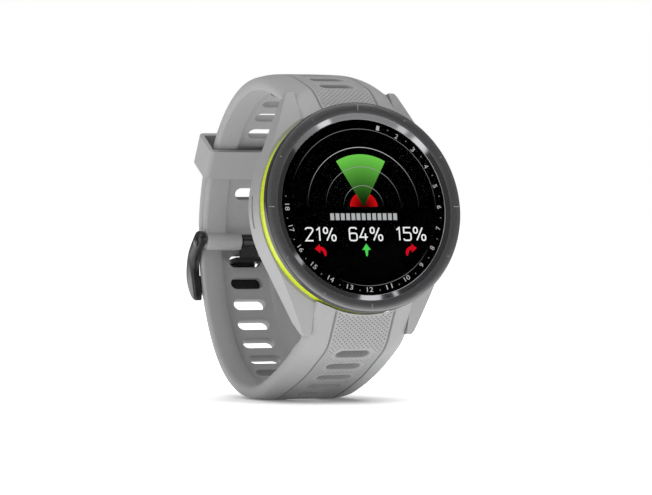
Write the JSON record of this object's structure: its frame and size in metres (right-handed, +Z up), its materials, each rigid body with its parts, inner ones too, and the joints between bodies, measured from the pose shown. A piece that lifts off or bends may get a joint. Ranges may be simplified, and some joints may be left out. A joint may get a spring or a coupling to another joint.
{
  "type": "golf gps watch",
  "caption": "Round golf GPS watch on a light gray strap, buckled into a loop and standing on it, with a dark bezel, a yellow-green ring, side buttons, a keeper and a black buckle.",
  "frame": {"origin": "middle of the object on the surface it stands on", "axes": "+Z up, -Y is where the display faces, leaning back ten degrees, +X towards 3 o'clock"},
  "size_m": [0.0427, 0.0686, 0.0665],
  "materials": {
    "bezel_ceramic": "satin with a polished inner bevel",
    "accent_lacquer": "polished yellow-green",
    "lens_glass": "clear",
    "seal_rubber": "matte",
    "display": "lit dial on black",
    "copper_strip": "plain",
    "inner_plastic": "moulded",
    "circuit_board": "solder mask",
    "shield_steel": "stamped",
    "battery_foil": "foil wrap",
    "sensor_glass": "polished dark",
    "case_polymer": "fine moulded, light gray",
    "cover_polymer": "moulded, light gray",
    "dark_steel": "blackened",
    "contact_gold": "plated",
    "bar_steel": "drawn",
    "strap_silicone": "soft matte, light gray",
    "buckle_black": "black, semi-gloss",
    "button_metal": "brushed gray"
  },
  "bodies": {
    "watch": {"accent_ring": "accent_lacquer", "back_gasket": "seal_rubber", "battery": "battery_foil", "bezel": "bezel_ceramic", "board_components": "shield_steel", "buckle_pin": "dark_steel", "button_seals": "seal_rubber", "case_back": "cover_polymer", "case_body": "case_polymer", "case_screws": "dark_steel", "charge_contacts": "contact_gold", "charge_port": "inner_plastic", "display_panel": "display", "gps_antenna": "copper_strip", "inner_frame": "inner_plastic", "lens": "lens_glass", "lens_gasket": "seal_rubber", "main_board": "circuit_board", "sensor_board": "circuit_board", "sensor_leds": "shield_steel", "sensor_window": "sensor_glass", "side_switches": "shield_steel", "spring_bar_bottom": "bar_steel", "spring_bar_top": "bar_steel", "strap_long": "strap_silicone", "strap_short": "strap_silicone", "switch_flex": "copper_strip", "vent_membrane": "inner_plastic", "vibration_motor": "shield_steel"},
    "button_upper": {"button_upper": "button_metal", "button_clip_upper": "dark_steel"},
    "button_middle": {"button_middle": "button_metal", "button_clip_middle": "dark_steel"},
    "button_lower": {"button_lower": "button_metal", "button_clip_lower": "dark_steel"},
    "lever_top": {"release_lever_top": "bar_steel"},
    "lever_bottom": {"release_lever_bottom": "bar_steel"},
    "keeper": {"strap_keeper": "strap_silicone"},
    "buckle": {"buckle_frame": "buckle_black"},
    "tongue": {"buckle_tongue": "buckle_black"}
  },
  "joints": [
    {"name": "upper_button_press", "type": "slide", "parent": "watch", "child": "button_upper", "axis": [-0.848, -0.0929, -0.5217], "range_m": [0, 0.0004], "stiffness_N_per_m": 4000, "springref_m": -0.0001},
    {"name": "middle_button_press", "type": "slide", "parent": "watch", "child": "button_middle", "axis": [-1, 0, 0], "range_m": [0, 0.0004], "stiffness_N_per_m": 4000, "springref_m": -0.0001},
    {"name": "lower_button_press", "type": "slide", "parent": "watch", "child": "button_lower", "axis": [-0.848, 0.0929, 0.5217], "range_m": [0, 0.0004], "stiffness_N_per_m": 4000, "springref_m": -0.0001},
    {"name": "top_lever_slide", "type": "slide", "parent": "watch", "child": "lever_top", "axis": [-1, 0, 0], "range_m": [0, 0.0013], "stiffness_N_per_m": 500, "springref_m": -0.0005},
    {"name": "bottom_lever_slide", "type": "slide", "parent": "watch", "child": "lever_bottom", "axis": [-1, 0, 0], "range_m": [0, 0.0013], "stiffness_N_per_m": 500, "springref_m": -0.0005},
    {"name": "keeper_slide", "type": "hinge", "parent": "watch", "child": "keeper", "pos_m": [-0.00035, -0.00294, 0.03308], "axis": [1, 0, 0], "range_deg": [-20, 38]},
    {"name": "buckle_hinge", "type": "hinge", "parent": "watch", "child": "buckle", "pos_m": [-0.00035, 0.02825, 0.03226], "axis": [1, 0, 0], "range_deg": [0, 4]},
    {"name": "tongue_hinge", "type": "hinge", "parent": "watch", "child": "tongue", "pos_m": [-0.00035, 0.02825, 0.03226], "axis": [1, 0, 0], "range_deg": [0, 4]}
  ],
  "couplings": [
    {"joint": "tongue_hinge", "follows": "buckle_hinge", "ratio": 1}
  ]
}
